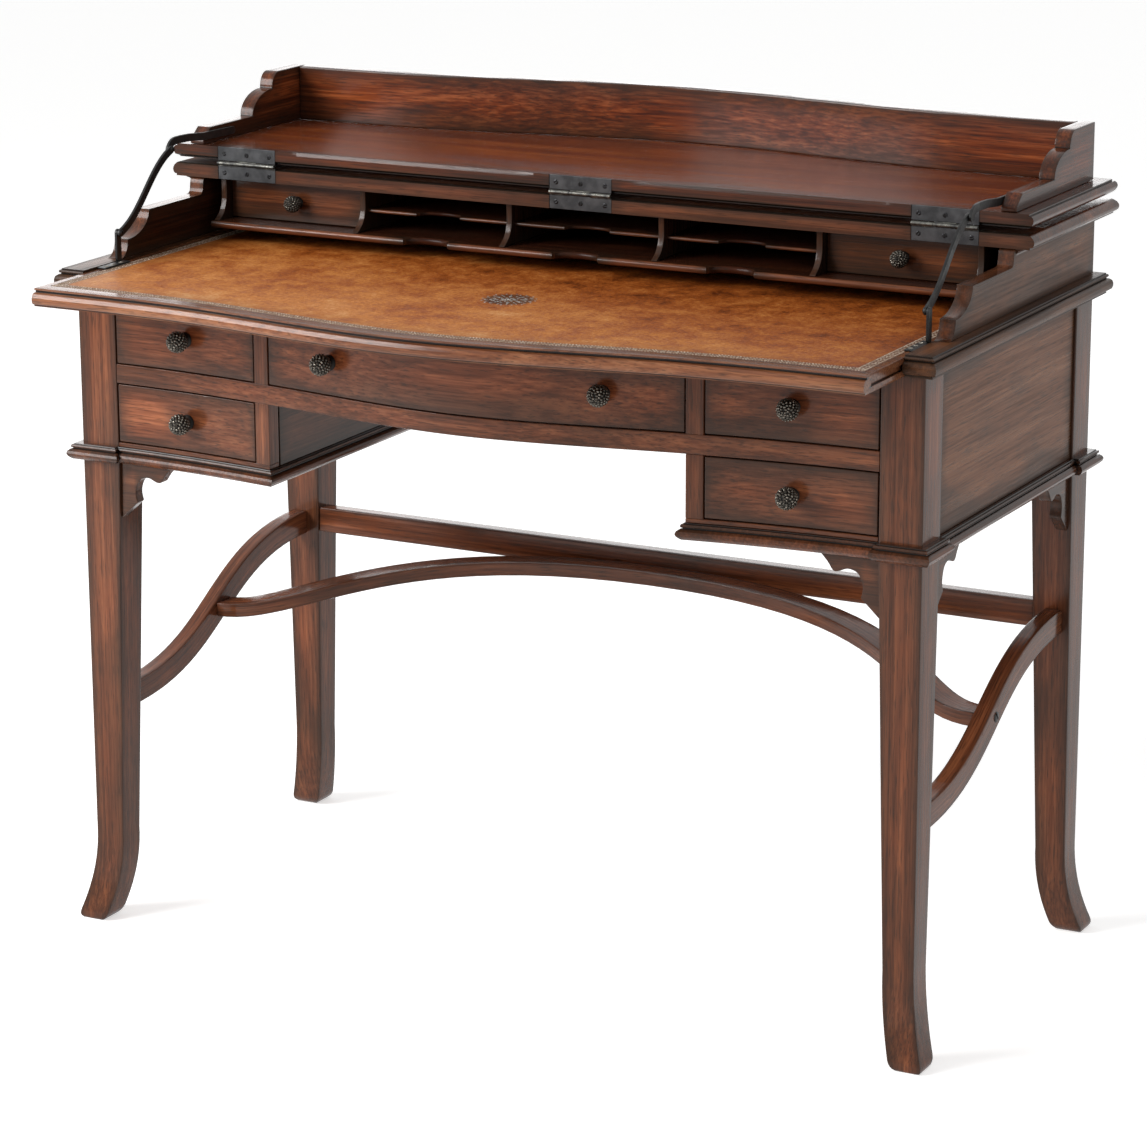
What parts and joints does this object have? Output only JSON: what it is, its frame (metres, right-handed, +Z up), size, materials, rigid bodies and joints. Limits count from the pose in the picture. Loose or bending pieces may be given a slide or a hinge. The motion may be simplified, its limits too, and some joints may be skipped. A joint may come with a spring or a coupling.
{
  "type": "campaign desk",
  "caption": "Serpentine-front writing desk with a pull-out leather slide, a flip-over gallery lid on iron stays, frieze drawers, pigeonholes and splayed feet.",
  "frame": {"origin": "on the floor under the middle of the desk as it stands open", "axes": "+X to the right of the sitter side as seen in the picture, +Y to the back, +Z up"},
  "size_m": [1.075, 0.699, 0.942],
  "materials": {
    "mahogany": "antiqued dark red-brown mahogany with a soft polish",
    "dark_mahogany": "dark mahogany, hidden faces and interior fittings",
    "leather": "tan leather with a tooled border",
    "iron": "black iron",
    "bronze": "dark patinated bronze with a pebbled face"
  },
  "bodies": {
    "frame": {"back_panel": "mahogany", "bow_stretcher": "mahogany", "dust_board": "dark_mahogany", "face_frame": "mahogany", "hinge_lower_left": "iron", "hinge_lower_middle": "iron", "hinge_lower_right": "iron", "interior_floor": "dark_mahogany", "kneehole_cheek_left": "mahogany", "kneehole_cheek_right": "mahogany", "leg_front_left": "mahogany", "leg_front_right": "mahogany", "leg_rear_left": "mahogany", "leg_rear_right": "mahogany", "pedestal_base_left": "mahogany", "pedestal_base_right": "mahogany", "pigeonhole_rack": "dark_mahogany", "rear_stretcher": "mahogany", "side_panel_left": "mahogany", "side_panel_right": "mahogany", "side_stretcher_left": "mahogany", "side_stretcher_right": "mahogany", "slide_bed": "dark_mahogany", "top_side_left": "mahogany", "top_side_right": "mahogany", "upper_back": "dark_mahogany", "upper_board": "mahogany", "upper_side_left": "mahogany", "upper_side_right": "mahogany"},
    "lid": {"lid_board": "mahogany", "gallery_panel": "mahogany", "gallery_side_left": "mahogany", "gallery_side_right": "mahogany", "hinge_upper_left": "iron", "hinge_upper_middle": "iron", "hinge_upper_right": "iron", "stay_strap_left": "iron", "stay_strap_right": "iron"},
    "slide": {"writing_slide": "mahogany", "leather_panel": "leather", "stay_post_left": "iron", "stay_post_right": "iron"},
    "stay_left": {"stay_bar_left": "iron"},
    "stay_right": {"stay_bar_right": "iron"},
    "upper_left_drawer": {"upper_drawer_left": "mahogany", "upper_knob_left": "bronze"},
    "upper_right_drawer": {"upper_drawer_right": "mahogany", "upper_knob_right": "bronze"},
    "lower_left_drawer": {"lower_drawer_left": "mahogany", "lower_knob_left": "bronze"},
    "lower_right_drawer": {"lower_drawer_right": "mahogany", "lower_knob_right": "bronze"},
    "centre_drawer": {"centre_drawer": "mahogany", "centre_knob_left": "bronze", "centre_knob_right": "bronze"},
    "small_left_drawer": {"small_drawer_left": "dark_mahogany", "small_knob_left": "bronze"},
    "small_right_drawer": {"small_drawer_right": "dark_mahogany", "small_knob_right": "bronze"}
  },
  "joints": [
    {"name": "lid_hinge", "type": "hinge", "parent": "frame", "child": "lid", "pos_m": [0, 0.0465, 0.8585], "axis": [1, 0, 0], "range_deg": [0, 180]},
    {"name": "slide_run", "type": "slide", "parent": "frame", "child": "slide", "axis": [0, 1, 0], "range_m": [0, 0.0962]},
    {"name": "stay_left_pivot", "type": "hinge", "parent": "slide", "child": "stay_left", "pos_m": [-0.4913, -0.1341, 0.804], "axis": [1, 0, 0], "range_deg": [-46, 0]},
    {"name": "stay_right_pivot", "type": "hinge", "parent": "slide", "child": "stay_right", "pos_m": [0.4913, -0.1341, 0.804], "axis": [1, 0, 0], "range_deg": [-46, 0]},
    {"name": "upper_left_drawer_run", "type": "slide", "parent": "frame", "child": "upper_left_drawer", "axis": [0, -1, 0], "range_m": [0, 0.3]},
    {"name": "upper_right_drawer_run", "type": "slide", "parent": "frame", "child": "upper_right_drawer", "axis": [0, -1, 0], "range_m": [0, 0.3]},
    {"name": "lower_left_drawer_run", "type": "slide", "parent": "frame", "child": "lower_left_drawer", "axis": [0, -1, 0], "range_m": [0, 0.3]},
    {"name": "lower_right_drawer_run", "type": "slide", "parent": "frame", "child": "lower_right_drawer", "axis": [0, -1, 0], "range_m": [0, 0.3]},
    {"name": "centre_drawer_run", "type": "slide", "parent": "frame", "child": "centre_drawer", "axis": [0, -1, 0], "range_m": [0, 0.3]},
    {"name": "small_left_drawer_run", "type": "slide", "parent": "frame", "child": "small_left_drawer", "axis": [0, -1, 0], "range_m": [0, 0.14]},
    {"name": "small_right_drawer_run", "type": "slide", "parent": "frame", "child": "small_right_drawer", "axis": [0, -1, 0], "range_m": [0, 0.14]}
  ],
  "couplings": [
    {"joint": "slide_run", "follows": "lid_hinge", "m_per_rad": 0.030558},
    {"joint": "stay_left_pivot", "follows": "lid_hinge", "ratio": -0.25},
    {"joint": "stay_right_pivot", "follows": "lid_hinge", "ratio": -0.25}
  ]
}
